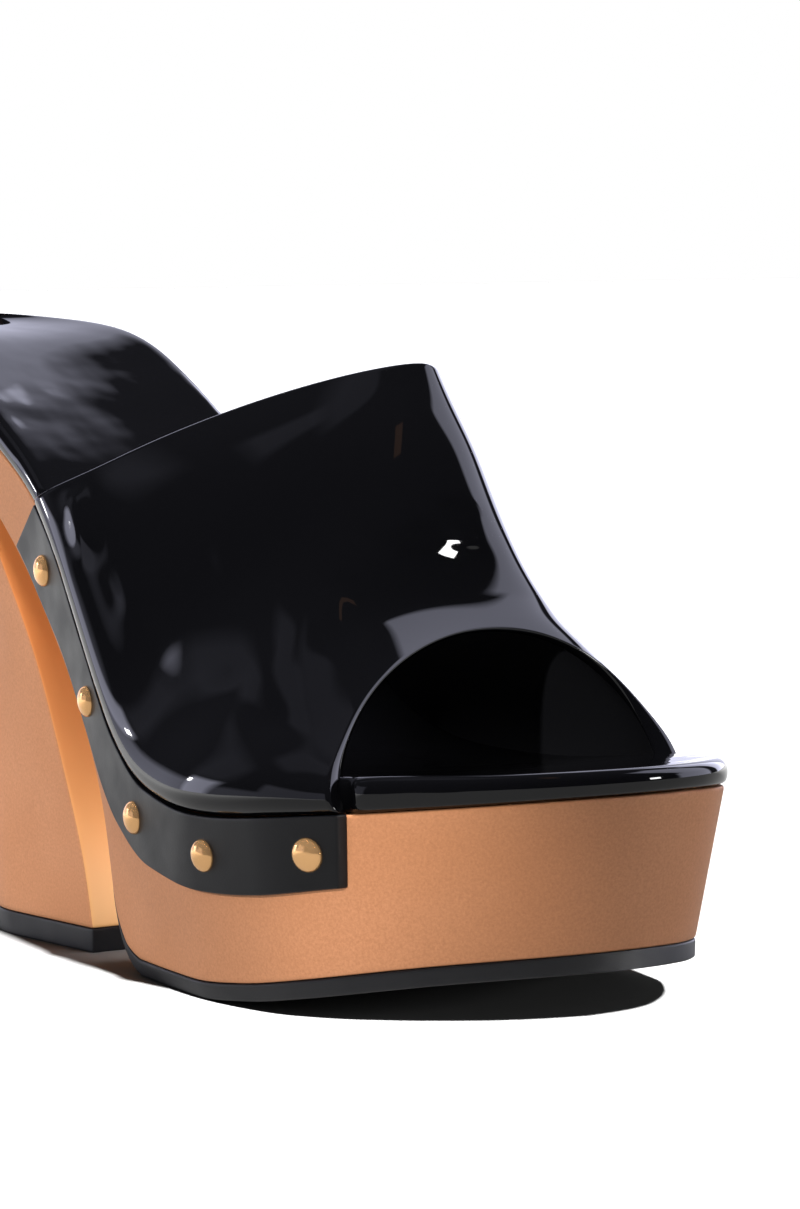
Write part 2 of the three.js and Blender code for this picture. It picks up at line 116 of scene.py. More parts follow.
outsole = {
    "thickness": 3.1,
    "lip": 0.9,
    "inset": 0.8,
    "lipStation": 0.469,
    "fullStation": 0.52,
    "steps": 56,
}

heel = {
    "length": 55,
    "width": 54,
    "foot": 31,
    "front": 0.186,
    "round": 0.45,
    "topPiece": 4.7,
    "topPieceEdge": 0.5,
    "profile": [  # how far the front and back have moved towards their places on the floor
        {"level": 0, "front": 0, "back": 0},
        {"level": 0.19, "front": 0.256, "back": 0.3},
        {"level": 0.4, "front": 0.538, "back": 0.57},
        {"level": 0.64, "front": 0.762, "back": 0.79},
        {"level": 0.86, "front": 0.935, "back": 0.94},
        {"level": 1, "front": 1, "back": 1},
    ],
}

fitGap = 0.3
seamGap = 0.1


def mix(start, end, share):
    return start + (end - start) * share


def smoothstep(number, low, high):
    t = np.clip((number - low) / (high - low), 0, 1)
    return t * t * (3 - 2 * t)


def around(station):  # a share of the length as an angle, which spreads stations evenly round both ends
    return np.arccos(1 - 2 * np.clip(station, 0, 1))


def curveThrough(rows, key, value, warp=lambda number: number):
    # a curve through a table's rows that never overshoots them
    at = np.array([float(warp(row[key])) for row in rows])
    height = np.array([float(row[value]) for row in rows])
    rises = np.diff(height) / np.diff(at)
    inside = [0 if a * b <= 0 else 2 * a * b / (a + b) for a, b in zip(rises, rises[1:])]
    slopes = np.array([rises[0], *inside, rises[-1]])

    def curve(number):
        place = np.clip(warp(number), at[0], at[-1])
        i = np.clip(np.searchsorted(at, place) - 1, 0, len(at) - 2)
        width = at[i + 1] - at[i]
        t = (place - at[i]) / width
        pull = t * (1 - t) * width * ((1 - t) * slopes[i] - t * slopes[i + 1])
        return mix(height[i], height[i + 1], t * t * (3 - 2 * t)) + pull

    return curve


outlineShare = {side: curveThrough(sole["outline"], "station", side, around) for side in sides}
topRise = curveThrough(sole["top"], "station", "rise")
topLift = curveThrough(sole["top"], "station", "lift")
underRise = curveThrough(sole["under"], "station", "rise")
underSpring = curveThrough(sole["under"], "station", "spring")


def halfWidth(station, side):
    return outlineShare[side](station) * sole["ballWidth"]


def woodTop(station):
    climb = (sole["seatHeight"] - sole["ballHeight"]) * topRise(station)
    return sole["ballHeight"] + climb + sole["toeLift"] * topLift(station)


def woodUnder(station):
    floorGap = outsole["thickness"] + fitGap
    climb = (sole["seatHeight"] - floorGap) * underRise(station)
    return floorGap + climb + sole["toeSpring"] * underSpring(station)


def point(x, y, z):
    return np.stack(np.broadcast_arrays(x, y, z), axis=-1).astype(float)


def solePoint(station, side, level, inset=0):
    # on the sole unit's wall, level 0 at its top edge and 1 at its underside, drawn in by the inset
    shrink = 1 - inset / (sole["ballWidth"] / 2)
    width = halfWidth(station, side) * (1 - sole["sideDraft"] * level) * shrink
    slant = sole["toeDraft"] * level * smoothstep(station, 0.7, 1)
    x = sole["length"] / 2 + (station - 0.5) * (sole["length"] - 2 * inset) - slant
    return point(x, sides[side] * width, mix(woodTop(station), woodUnder(station), level))


def soleRun(start, end, count, extras=()):
    # stations along the sole, closer at both ends, with extra ones where a form turns
    closest = 0.0025
    even = (1 - np.cos(np.linspace(around(start), around(end), count + 1))) / 2
    inside = [station for station in extras if start < station < end]
    kept = [s for i, s in enumerate(even)
            if i in (0, count) or all(abs(s - station) > closest for station in inside)]
    return np.array(sorted(kept + inside))


def waistTurns():
    # where the underside turns sharply from the waist to the platform's back wall
    return [row["station"] for row in sole["under"] if 0.42 < row["station"] < 0.54]


def towardsMiddle(points, shares):
    # the points again at each share of their distance from the middle of the shoe
    return [points * [1, share, 1] for share in shares]


wideStation = np.linspace(0.5, 0.9, 401)
origin = np.array([
    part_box("platform")[0].x,
    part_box("platform")[0].y + float(halfWidth(wideStation, "outer").max()) * mm,
    0,
])


def toFrame(points):
    return np.asarray(points, float) * mm + origin


# Meshes are sewn from patches: grids of points, with the material number of each patch
def sew(name, patches, materials, levels=2):
    mesh = bpy.data.meshes.new(name)
    work = bmesh.new()
    for grid, material in patches:
        rows, columns = grid.shape[:2]
        corners = [[work.verts.new(toFrame(grid[r, c])) for c in range(columns)] for r in range(rows)]
        for r in range(rows - 1):
            for c in range(columns - 1):
                here, below = corners[r], corners[r + 1]
                face = work.faces.new((here[c], here[c + 1], below[c + 1], below[c]))
                face.material_index = material
                face.smooth = True
    bmesh.ops.remove_doubles(work, verts=work.verts, dist=0.02 * mm)
    bmesh.ops.dissolve_degenerate(work, edges=work.edges, dist=0.01 * mm)
    bmesh.ops.recalc_face_normals(work, faces=work.faces)
    openEdges = sum(1 for edge in work.edges if len(edge.link_faces) != 2)
    if work.calc_volume(signed=True) < 0:
        bmesh.ops.reverse_faces(work, faces=work.faces)
    work.to_mesh(mesh)
    work.free()
    piece = bpy.data.objects.new(name, mesh)
    bpy.context.scene.collection.objects.link(piece)
    for material in materials:
        mesh.materials.append(material)
    if levels:
        smooth = piece.modifiers.new("smooth", "SUBSURF")
        smooth.levels = levels
        smooth.render_levels = levels
        piece = plain(piece)
    print(f"{name}: {len(piece.data.polygons)} faces, {openEdges} open edges")
    return piece


def plain(piece):
    # the evaluated shape as a plain mesh, with no modifier left
    bpy.context.view_layer.update()
    shown = piece.evaluated_get(bpy.context.evaluated_depsgraph_get())
    mesh = bpy.data.meshes.new_from_object(shown)
    piece.modifiers.clear()
    piece.data = mesh
    mesh.name = piece.name
    return piece


def border(grid):
    # the four edges of a grid in turn, back to the first corner
    top, right = grid[0, :-1], grid[:-1, -1]
    bottom, left = grid[-1, :0:-1], grid[::-1, 0]
    return np.concatenate([top, right, bottom, left])


def slab(front, back, edgeShares):
    # two facing grids closed round their four edges
    edge = np.stack([mix(border(front), border(back), share) for share in edgeShares])
    return [(front, 0), (back, 0), (edge, 0)]


# Materials
def toLinear(hexColour):
    channels = [int(hexColour[i:i + 2], 16) / 255 for i in (1, 3, 5)]
    return tuple(c / 12.92 if c <= 0.04045 else ((c + 0.055) / 1.055) ** 2.4 for c in channels) + (1.0,)


def addNode(tree, kind, inputs=None, **settings):
    node = tree.nodes.new(kind)
    for name, value in settings.items():
        setattr(node, name, value)
    for name, value in (inputs or {}).items():
        socket = node.inputs[name]
        if isinstance(value, bpy.types.NodeSocket):
            tree.links.new(value, socket)
        else:
            socket.default_value = value
    return node


def newMaterial(name):
    material = bpy.data.materials.new(name)
    material.use_nodes = True
    material.node_tree.nodes.clear()
    return material, material.node_tree


def finishMaterial(tree, shader, material):
    addNode(tree, "ShaderNodeOutputMaterial", {"Surface": shader.outputs[0]})
    return material


def noise(tree, place, size, detail=2.0, roughness=0.5):
    # noise whose blotches are about the given size in millimetres
    return addNode(tree, "ShaderNodeTexNoise", {
        "Vector": place, "Scale": 1 / (size * mm), "Detail": detail, "Roughness": roughness}).outputs["Fac"]


def spread(tree, value, low, high):
    return addNode(tree, "ShaderNodeMapRange", {
        "Value": value, "From Min": 0.3, "From Max": 0.7, "To Min": low, "To Max": high}).outputs["Result"]


def blend(tree, factor, first, second):
    node = addNode(tree, "ShaderNodeMix", {"Factor": factor}, data_type="RGBA")
    for socket, colour in ((node.inputs[6], first), (node.inputs[7], second)):
        if isinstance(colour, bpy.types.NodeSocket):
            tree.links.new(colour, socket)
        else:
            socket.default_value = colour
    return node.outputs[2]


def sprayedWoodTone():
    # polyurethane sprayed in a matt wood tone: fine speckle, soft cloudy tone, hardly any gloss
    material, tree = newMaterial("polyurethane_wood_tone")
    place = addNode(tree, "ShaderNodeTexCoord").outputs["Object"]
    cloud = noise(tree, place, 26, 2)
    speck = noise(tree, place, 0.55, 3, 0.7)
    base = blend(tree, spread(tree, cloud, 0, 1), toLinear("#bd8159"), toLinear("#c68a63"))
    colour = blend(tree, spread(tree, speck, 0, 0.5), base, toLinear("#9a6440"))
    bump = addNode(tree, "ShaderNodeBump", {"Strength": 0.25, "Distance": 0.04 * mm, "Height": speck})
    shader = addNode(tree, "ShaderNodeBsdfPrincipled", {
        "Base Color": colour, "Roughness": 0.62, "IOR": 1.5, "Normal": bump.outputs[0]})
    return finishMaterial(tree, shader, material)


def breastPaintAndShade():
    # smoother, more orange paint on the heel's front, with painted light and shade by height: paler towards
    # the floor as painted light, darker orange towards the top as painted shade under the waist
    material, tree = newMaterial("heel_breast_paint_and_painted_shade")
    place = addNode(tree, "ShaderNodeTexCoord").outputs["Object"]
    height = addNode(tree, "ShaderNodeSeparateXYZ", {"Vector": place}).outputs["Z"]
    # painted light and shade: the tone pales towards the floor and darkens towards the top
    down = addNode(tree, "ShaderNodeMapRange", {
        "Value": height, "From Min": 8 * mm, "From Max": 60 * mm}).outputs["Result"]
    colour = blend(tree, down, toLinear("#dba56c"), toLinear("#d9884c"))
    grain = noise(tree, place, 1.2, 2)
    bump = addNode(tree, "ShaderNodeBump", {"Strength": 0.1, "Distance": 0.03 * mm, "Height": grain})
    shader = addNode(tree, "ShaderNodeBsdfPrincipled", {
        "Base Color": colour, "Roughness": 0.5, "Normal": bump.outputs[0]})
    return finishMaterial(tree, shader, material)


def patentLeather(name, ripple=0.06, waveSize=14):
    # leather under a poured lacquer: black, mirror bright, with a faint long ripple
    material, tree = newMaterial(name)
    place = addNode(tree, "ShaderNodeTexCoord").outputs["Object"]
    wave = noise(tree, place, waveSize, 1, 0.4)
    bump = addNode(tree, "ShaderNodeBump", {"Strength": 1.0, "Distance": ripple * mm, "Height": wave})
    dust = noise(tree, place, 1.5, 3)
    rough = spread(tree, dust, 0.015, 0.05)
    shader = addNode(tree, "ShaderNodeBsdfPrincipled", {
        "Base Color": toLinear("#040405"), "Roughness": rough, "IOR": 1.5, "Normal": bump.outputs[0]})
    return finishMaterial(tree, shader, material)


def satinRubber(name, tone, roughness, shine=0.5):
    # black rubber or lining, satin to matt, with a fine grain that breaks up its highlights
    material, tree = newMaterial(name)
    place = addNode(tree, "ShaderNodeTexCoord").outputs["Object"]
    grain = noise(tree, place, 0.5, 3)
    cloud = noise(tree, place, 9, 2)
    bump = addNode(tree, "ShaderNodeBump", {"Strength": 0.3, "Distance": 0.05 * mm, "Height": grain})
    shader = addNode(tree, "ShaderNodeBsdfPrincipled", {
        "Base Color": toLinear(tone), "Roughness": spread(tree, cloud, roughness - 0.06, roughness + 0.06),
        "Specular IOR Level": shine, "Normal": bump.outputs[0]})
    return finishMaterial(tree, shader, material)


def goldPlate():
    # warm gold plate on brass, polished, with small dents
    material, tree = newMaterial("gold_plated_brass")
    place = addNode(tree, "ShaderNodeTexCoord").outputs["Object"]
    dents = noise(tree, place, 1.6, 2)
    bump = addNode(tree, "ShaderNodeBump", {"Strength": 0.5, "Distance": 0.12 * mm, "Height": dents})
    shader = addNode(tree, "ShaderNodeBsdfPrincipled", {
        "Base Color": toLinear("#f8c184"), "Metallic": 0.8, "Roughness": 0.16, "Normal": bump.outputs[0]})
    return finishMaterial(tree, shader, material)


woodTone = sprayedWoodTone()
breastToneWithPaintedShade = breastPaintAndShade()
bandPatent = patentLeather("patent_leather_band", 0.03, 20)
insolePatent = patentLeather("patent_leather_insole", 0.16, 9)
lining = satinRubber("black_lining", "#151517", 0.7)
stripRubber = satinRubber("satin_black_strip", "#09090b", 0.42, 0.36)
soleRubber = satinRubber("matt_black_rubber", "#18181a", 0.5)
goldStud = goldPlate()
print("materials made")

# Wood-look unit: platform, waist, seat and heel block in one
woodUnit = {
    "stations": 60,
    "soft": 1.1,
    "walls": [0.2, 0.4, 0.6, 0.8],
    "heelLevels": [0, 0.02, *np.linspace(0.07, 0.93, 14), 0.985, 1],
    "acrossShares": [1, 0.96, 0.5, 0],
}
heelShift = {key: curveThrough(heel["profile"], "level", key) for key in ("front", "back")}


def heelPoint(station, side, level, inset=0):
    seat = solePoint(station, side, 1)
    share = station / heel["front"]
    backX = mix(0, heel["foot"], heelShift["back"](level)) + inset
    frontFoot = heel["foot"] + heel["length"]
    frontX = mix(heel["front"] * sole["length"], frontFoot, heelShift["front"](level)) - inset
    bow = np.sqrt(1 - (1 - np.minimum(share / heel["round"], 1)) ** 2)
    foot = sides[side] * (heel["width"] / 2 - inset) * bow
    y = mix(seat[..., 1], foot, smoothstep(level, 0, 1))
    z = mix(seat[..., 2], heel["topPiece"], level)
    return point(mix(backX, frontX, share), y, z)


def underRow(station, corner, side):
    # across the underside, from the corner to the middle of the shoe
    return [corner, *towardsMiddle(solePoint(station, side, 1, woodUnit["soft"]), (1, 0.5, 0))]


def makeWoodUnit():
    soft = woodUnit["soft"]
    edge = soft / sole["length"]
    extras = [*waistTurns(), heel["front"] - edge, heel["front"], heel["front"] + edge]
    stations = soleRun(0, 1, woodUnit["stations"], extras)
    heelStations = stations[stations <= heel["front"] + 1e-9]
    openStations = stations[stations >= heel["front"] - 1e-9]
    heelLevels, acrossShares = woodUnit["heelLevels"], woodUnit["acrossShares"]
    patches = []
    for side in sides:
        wall = []
        for station in stations:
            height = woodTop(station) - woodUnder(station)
            levels = [0, soft / height, *woodUnit["walls"], 1 - soft / height, 1]
            top = towardsMiddle(solePoint(station, side, 0, soft), (0, 0.5, 1))
            wall.append(top + [solePoint(station, side, level) for level in levels])
        patches.append((np.array(wall), 0))
        under = []
        for station in openStations:
            under.append(underRow(station, solePoint(station, side, 1), side))
        patches.append((np.array(under), 0))
        block = [[heelPoint(s, side, level) for level in heelLevels] for s in heelStations]
        patches.append((np.array(block), 0))
        breast = []
        for level in heelLevels:
            corner = heelPoint(heel["front"], side, level)
            if level == 0:
                breast.append(underRow(heel["front"], corner, side))
            else:
                breast.append(towardsMiddle(corner, acrossShares))
        patches.append((np.array(breast), 1))
        foot = [towardsMiddle(heelPoint(s, side, 1), acrossShares) for s in heelStations]
        patches.append((np.array(foot), 0))
    return sew("wood_unit", patches, [woodTone, breastToneWithPaintedShade], 2)


unit = makeWoodUnit()


# Top piece that the heel stands on
def makeTopPiece():
    stations = np.append(soleRun(0, heel["front"], 14)[:-1], [heel["front"] * 0.985, heel["front"]])
    tall, edge = heel["topPiece"], heel["topPieceEdge"]
    heights = [(0, edge), (0, 0), (edge, 0), (tall - edge, 0), (tall, 0)]
    patches = []
    for side in sides:
        wall = []
        for station in stations:
            column = []
            for height, inset in heights:
                corner = heelPoint(station, side, 1, inset)
                column.append([corner[0], corner[1], height])
            wall.append(column)
        wall = np.array(wall)
        shares = (1, 0.97, 0.5, 0)
        bottom = np.stack(towardsMiddle(wall[:, 0], shares), axis=1)
        top = np.stack(towardsMiddle(wall[:, -1], shares), axis=1)
        front = np.stack(towardsMiddle(wall[-1], shares))
        patches += [(wall, 0), (bottom, 0), (top, 0), (front, 0)]
    return sew("heel_top", patches, [soleRubber], 2)


topPiece = makeTopPiece()


# Outsole sheet, drawn up the platform's back wall to a thin lip
def makeOutsole():
    stations = soleRun(outsole["lipStation"], 1, outsole["steps"], waistTurns())
    step = 0.004  # how far on each side of a station its slope is taken
    patches = []
    for side in sides:
        rows = []
        for station in stations:
            ahead = solePoint(min(station + step, 1), side, 1)[[0, 2]]
            behind = solePoint(max(station - step, outsole["lipStation"]), side, 1)[[0, 2]]
            along = (ahead - behind) / np.linalg.norm(ahead - behind)
            away = np.array([along[1], -along[0]])
            thickness = mix(outsole["lip"], outsole["thickness"] + fitGap,
                            smoothstep(station, outsole["lipStation"], outsole["fullStation"]))
            base = solePoint(station, side, 1)
            row = towardsMiddle(base, (0, 0.5, 0.98, 1))
            for share in (0.25, 0.75, 0.97):
                shrink = 1 - outsole["inset"] * share / (sole["ballWidth"] / 2)
                down = away * thickness * share
                row.append([base[0] + down[0], base[1] * shrink, base[2] + down[1]])
            shrink = 1 - outsole["inset"] / (sole["ballWidth"] / 2)
            down = away * thickness
            for across in (0.985, 0.5, 0):
                row.append([base[0] + down[0], base[1] * shrink * across, base[2] + down[1]])
            rows.append(row)
        rows = np.array(rows)
        count = rows.shape[1]
        patches.append((rows, 0))
        start = rows[0]
        cap = np.stack([start[:count // 2], start[count // 2:][::-1]])
        patches.append((cap, 0))
    return sew("outsole_sheet", patches, [soleRubber], 1)


tread = makeOutsole()

# Insole: padded, with a round rim and a shallow dish
insole = {
    "thickness": 4.8,
    "overhang": 0.6,
    "dish": 1.2,
    "tuck": -0.2,
    "turn": 1.2,  # the length over which the pad draws in beside the band
    "rim": [(0, 1), (0.18, 0.2), (0.5, 0), (0.8, 0.3), (0.96, 1.2), (1, 2.4)],  # height share and inset
    "steps": 64,
    "padding": [  # thickness of the pad as a share of the insole thickness
        {"station": 0.55, "outer": 1, "inner": 1},
        {"station": 0.76, "outer": 1.4, "inner": 1.15},
        {"station": 0.86, "outer": 1.38, "inner": 1.15},
        {"station": 0.95, "outer": 1.12, "inner": 1.05},
        {"station": 1, "outer": 1, "inner": 1},
    ],
}
padding = {side: curveThrough(insole["padding"], "station", side) for side in sides}

band = {
    "wall": 1.9,
    "throatRise": 81.2,
    "rollDepth": 3.0,
    "rollHeight": 4.2,
    "rollFade": 9,
    "footProud": 0.8,
    "length": 100,  # about, from collar to toe opening
    "rows": 168,
    "columns": 248,
    "crowding": 0.6,
    "evening": (110, 70),
    "creaseEvening": (3, 3),
    "collarEdge": 0.8,
    "toeEdge": 0.5,
    "span": {"outer": (0.342, 0.846), "inner": (0.388, 0.795)},
    "sections": [  # from the collar to the toe opening
        {"share": 0, "run": 0, "crest": 0.671, "side": 0.095, "rise": 1,
         "outer": 1.46, "inner": 1.95},
        {"share": 0.25, "run": 0.245, "crest": 0.717, "side": 0.085, "rise": 0.815,
         "outer": 1.9, "inner": 2.15},
        {"share": 0.5, "run": 0.485, "crest": 0.742, "side": 0.075, "rise": 0.635,
         "outer": 2, "inner": 2.05},
        {"share": 0.75, "run": 0.745, "crest": 0.747, "side": 0.073, "rise": 0.501,
         "outer": 2, "inner": 2.1},
        {"share": 1, "run": 1, "crest": 0.76, "side": 0.062, "rise": 0.403,
         "outer": 1.82, "inner": 2.28},
    ],
    "seam": [  # height over the sole's top edge, as a share of the insole thickness
        {"station": 0.3, "lift": 0.75},
        {"station": 0.45, "lift": 0.65},
        {"station": 0.55, "lift": 0.4},
        {"station": 0.63, "lift": 0.2},
        {"station": 0.72, "lift": 0.1},
        {"station": 0.86, "lift": 0.06},
    ],
    "creases": [  # paths in shares: collar to toe, then outer to inner foot
        {"name": "fold under the throat", "height": -0.35, "width": 3.4,
         "path": [(0.5, 0.37), (0.56, 0.405), (0.61, 0.45), (0.63, 0.52), (0.6, 0.6)]},
        {"name": "pocket above the fold", "height": -0.55, "width": 3.4,
         "path": [(0.4, 0.49), (0.54, 0.475)]},
        {"name": "crescent beside the toe", "height": -0.4, "width": 1.5,
         "path": [(0.48, 0.308), (0.55, 0.32), (0.66, 0.334), (0.79, 0.33), (0.93, 0.3)]},
        {"name": "short line up the throat", "height": -0.25, "width": 1.3,
         "path": [(0.38, 0.342), (0.45, 0.367), (0.55, 0.4)]},
        {"name": "line beside the pocket", "height": -0.35, "width": 1.4,
         "path": [(0.45, 0.408), (0.5, 0.433), (0.55, 0.458)]},
        {"name": "pucker at the collar", "height": 0.9, "width": 2.4,
         "path": [(0.01, 0.08), (0.05, 0.073), (0.1, 0.062), (0.15, 0.058)]},
        {"name": "hollow over the toe joint", "height": -0.55, "width": 3.6,
         "path": [(0.47, 0.125), (0.56, 0.16), (0.68, 0.16), (0.8, 0.148), (0.94, 0.13)]},
        {"name": "pucker lower down", "height": 0.15, "width": 1.6,
         "path": [(0.16, 0.068), (0.19, 0.068), (0.24, 0.067)]},
    ],
}
seamShare = curveThrough(band["seam"], "station", "lift")


def seamHeight(station):
    return woodTop(station) + insole["thickness"] * seamShare(station)


def insoleReach(station, side):
    back, front = band["span"][side]
    turn = insole["turn"] / sole["length"]
    clear = fitGap / sole["length"]
    covered = smoothstep(station, back - clear - turn, back - clear)
    covered = covered * (1 - smoothstep(station, front + clear, front + clear + turn))
    return mix(insole["overhang"], band["footProud"] - band["wall"] - insole["tuck"], covered)


def makeInsole():
    turn = insole["turn"] / sole["length"]
    edges = []
    for back, front in band["span"].values():
        edges += [back - turn * 1.3, back - turn * 0.6, back, front, front + turn * 0.6, front + turn * 1.3]
    stations = soleRun(0, 1, insole["steps"], edges)
    patches = []
    for side in sides:
        rows = []
        for station in stations:
            base = woodTop(station)
            row = []
            for height, inset in [(0, 6), *insole["rim"]]:
                reach = insoleReach(station, side) - inset
                y = sides[side] * halfWidth(station, side) * (1 + reach / (sole["ballWidth"] / 2))
                x = sole["length"] / 2 + (station - 0.5) * (sole["length"] + 2 * reach)
                row.append([x, y, base + insole["thickness"] * padding[side](station) * height])
            spine = station * sole["length"]
            bottom = np.array([spine, 0, base])
            top = np.array(row[-1])
            crown = base + insole["thickness"] * sum(padding[s](station) for s in sides) / 2
            hollow = []
            for share in (0.85, 0.6, 0.3, 0):
                z = mix(crown, top[2], share * share) - insole["dish"] * (1 - share * share)
                hollow.append([mix(spine, top[0], share), top[1] * share, z])
            rows.append([bottom, *row, *hollow])
        patches.append((np.array(rows), 0))
    return sew("insole_pad", patches, [insolePatent], 2)


pad = makeInsole()


# Band
def bandAngles():
    turn = np.linspace(0, 2 * math.pi, band["columns"] + 1)
    return (turn - band["crowding"] * np.sin(turn)) / 2  # columns crowd towards both feet


def bandSkin():
    curve = {key: curveThrough(band["sections"], "share", key)
             for key in ("run", "crest", "side", "rise", "outer", "inner")}
    angles = bandAngles()
    skin = np.zeros((band["rows"] + 1, band["columns"] + 1, 3))
    first, last = band["collarEdge"] / band["length"], 1 - band["toeEdge"] / band["length"]
    for r, share in enumerate(np.linspace(first, last, band["rows"] + 1)):
        foot = {}
        for side in sides:
            station = mix(*band["span"][side], curve["run"](share))
            y = sides[side] * (halfWidth(station, side) + band["footProud"])
            foot[side] = point(station * sole["length"], y, seamHeight(station) + seamGap)
        crest = point(curve["crest"](share) * sole["length"], curve["side"](share) * sole["ballWidth"],
                      sole["ballHeight"] + curve["rise"](share) * band["throatRise"])
        along = (crest[1] - foot["outer"][1]) / (foot["inner"][1] - foot["outer"][1])
        middle = mix(foot["outer"], foot["inner"], along)
        for c, angle in enumerate(angles):
            side = "outer" if 2 * c <= band["columns"] else "inner"
            full = curve[side](share)
            out = abs(math.cos(angle)) ** (2 / full)
            up = max(math.sin(angle), 0) ** (2 / full)
            skin[r, c] = middle + (foot[side] - middle) * out + (crest - middle) * up
    return skin


def evened(skin, alongTimes, acrossTimes):
    # takes the small kinks out of a grid, with its edges held
    for _ in range(alongTimes):
        skin[1:-1] = (skin[:-2] + 2 * skin[1:-1] + skin[2:]) / 4
    for _ in range(acrossTimes):
        skin[:, 1:-1] = (skin[:, :-2] + 2 * skin[:, 1:-1] + skin[:, 2:]) / 4
    return skin


def outward(skin):
    ahead = np.gradient(skin, axis=0)
    across = np.gradient(skin, axis=1)
    normal = np.cross(ahead, across)
    return normal / np.maximum(np.linalg.norm(normal, axis=2, keepdims=True), 1e-9)


def rolled(skin):
    # the lower edge is turned under in a round roll along both feet
    normal = outward(skin) * [1, 1, 0]
    normal /= np.maximum(np.linalg.norm(normal, axis=2, keepdims=True), 1e-9)
    half = band["columns"] // 2
    out = np.zeros(skin.shape[:2])
    for foot, columns in ((skin[:, 0], slice(0, half)), (skin[:, -1], slice(half, None))):
        gaps = np.linalg.norm(skin[:, columns, None] - foot[None, None], axis=3).min(axis=2)
        up = gaps / band["rollHeight"]
        under = np.sqrt(1 - (1 - np.minimum(up, 1)) ** 2)
        over = np.exp(-((gaps - band["rollHeight"]) / band["rollFade"]) ** 2)
        out[:, columns] = np.where(up < 1, under, over)
    return skin + normal * out[..., None] * band["rollDepth"]


def pathOn(skin, path, steps=24):
    # a smooth path over the skin through shares of its rows and of its turn from foot to foot
    shares = np.array(path)
    at = np.linspace(0, 1, len(path))
    fine = np.linspace(0, 1, steps + 1)
    along, turn = (np.interp(fine, at, shares[:, k]) for k in (0, 1))
    for _ in range(12):
        along[1:-1] = (along[:-2] + 2 * along[1:-1] + along[2:]) / 4
        turn[1:-1] = (turn[:-2] + 2 * turn[1:-1] + turn[2:]) / 4
    row = along * band["rows"]
    column = np.interp(turn * math.pi, bandAngles(), np.arange(band["columns"] + 1))
    r = np.minimum(row.astype(int), band["rows"] - 1)
    c = np.minimum(column.astype(int), band["columns"] - 1)
    down, over = (row - r)[:, None], (column - c)[:, None]
    return mix(mix(skin[r, c], skin[r, c + 1], over), mix(skin[r + 1, c], skin[r + 1, c + 1], over), down)


def creased(skin):
    # soft troughs (height below 0) and ridges, strongest in the middle of their paths
    height = np.zeros(skin.shape[:2])
    for crease in band["creases"]:
        path = pathOn(skin, crease["path"])
        nearest = np.full(skin.shape[:2], 1e9)
        place = np.zeros(skin.shape[:2])
        for i, (start, end) in enumerate(zip(path, path[1:])):
            step = end - start
            share = np.clip(((skin - start) @ step) / (step @ step), 0, 1)
            gap = np.linalg.norm(skin - start - share[..., None] * step, axis=2)
            place = np.where(gap < nearest, (i + share) / (len(path) - 1), place)
            nearest = np.minimum(gap, nearest)
        fade = smoothstep(place, 0, 0.3) * (1 - smoothstep(place, 0.7, 1))
        height += crease["height"] * np.exp(-(nearest / crease["width"]) ** 2) * fade
    return skin + outward(skin) * evened(height, *band["creaseEvening"])[..., None]


def turnedEdge(skin, inner):
    # a rounded edge from the skin round to the inner wall at the collar and at the toe
    lead = np.zeros_like(skin)
    for row, inside, reach in ((0, 3, band["collarEdge"]), (-1, -4, band["toeEdge"])):
        way = skin[row] - skin[inside]
        lead[row] = way / np.linalg.norm(way, axis=1, keepdims=True) * reach
    rows = []
    for turn in np.linspace(0, math.pi, 9):
        share = (1 - math.cos(turn)) / 2
        rows.append(mix(border(skin), border(inner), share) + border(lead) * math.sin(turn))
    return np.stack(rows)


def makeBand():
    flat = evened(bandSkin(), *band["evening"])
    skin = creased(rolled(flat))
    inner = flat - outward(flat) * band["wall"]
    inner[:, 0, 2] = flat[:, 0, 2]
    inner[:, -1, 2] = flat[:, -1, 2]
    return sew("band", [(skin, 0), (inner, 1), (turnedEdge(skin, inner), 0)], [bandPatent, lining], 0)


bandPiece = makeBand()

# Studded strips
strip = {
    "depth": 13.5,
    "thickness": 2,
    "bevel": 0.6,
    "steps": 60,
    "endShare": 0.004,
    "edgeShares": (0, 0.3, 0.8, 1),
    "span": {"outer": (0.345, 0.847), "inner": (0.392, 0.79)},
    "profile": [  # lag of the lower edge as a share of the sole length, depth as a share of the strip depth
        {"run": 0, "lag": 0.055, "depth": 1.01},
        {"run": 0.108, "lag": 0.04, "depth": 1.2},
        {"run": 0.206, "lag": 0.03, "depth": 1.12},
        {"run": 0.304, "lag": 0.025, "depth": 1.08},
        {"run": 0.402, "lag": 0.02, "depth": 1.01},
        {"run": 0.5, "lag": 0.01, "depth": 0.98},
        {"run": 0.657, "lag": 0, "depth": 1},
        {"run": 0.833, "lag": 0, "depth": 1.02},
        {"run": 1, "lag": 0, "depth": 0.97},
    ],
}
stripLag = curveThrough(strip["profile"], "run", "lag")
stripDeep = curveThrough(strip["profile"], "run", "depth")


def stripPoint(side, run, drop, proud):
    upper = mix(*strip["span"][side], run)
    lower = upper - stripLag(run)
    level = stripDeep(run) * strip["depth"] / (woodTop(lower) - woodUnder(lower))
    low = solePoint(lower, side, level)
    high = solePoint(upper, side, 0)
    high[2] = seamHeight(upper) - seamGap
    place = mix(high, low, drop)
    place[1] += sides[side] * proud
    return place


def makeStrip(side):
    edge = strip["bevel"] / strip["depth"]
    end = strip["endShare"]
    runs = np.array([0, end, *np.linspace(0.02, 0.98, strip["steps"]), 1 - end, 1])
    drops = [0, edge, 0.3, 0.5, 0.7, 1 - edge, 1]
    face = fitGap + strip["thickness"]
    front = np.array([[stripPoint(side, run, drop, face) for drop in drops] for run in runs])
    back = np.array([[stripPoint(side, run, drop, 0) for drop in drops] for run in runs])
    return sew(f"strip_{side}", slab(front, back, strip["edgeShares"]), [stripRubber], 2)


strips = {side: makeStrip(side) for side in sides}

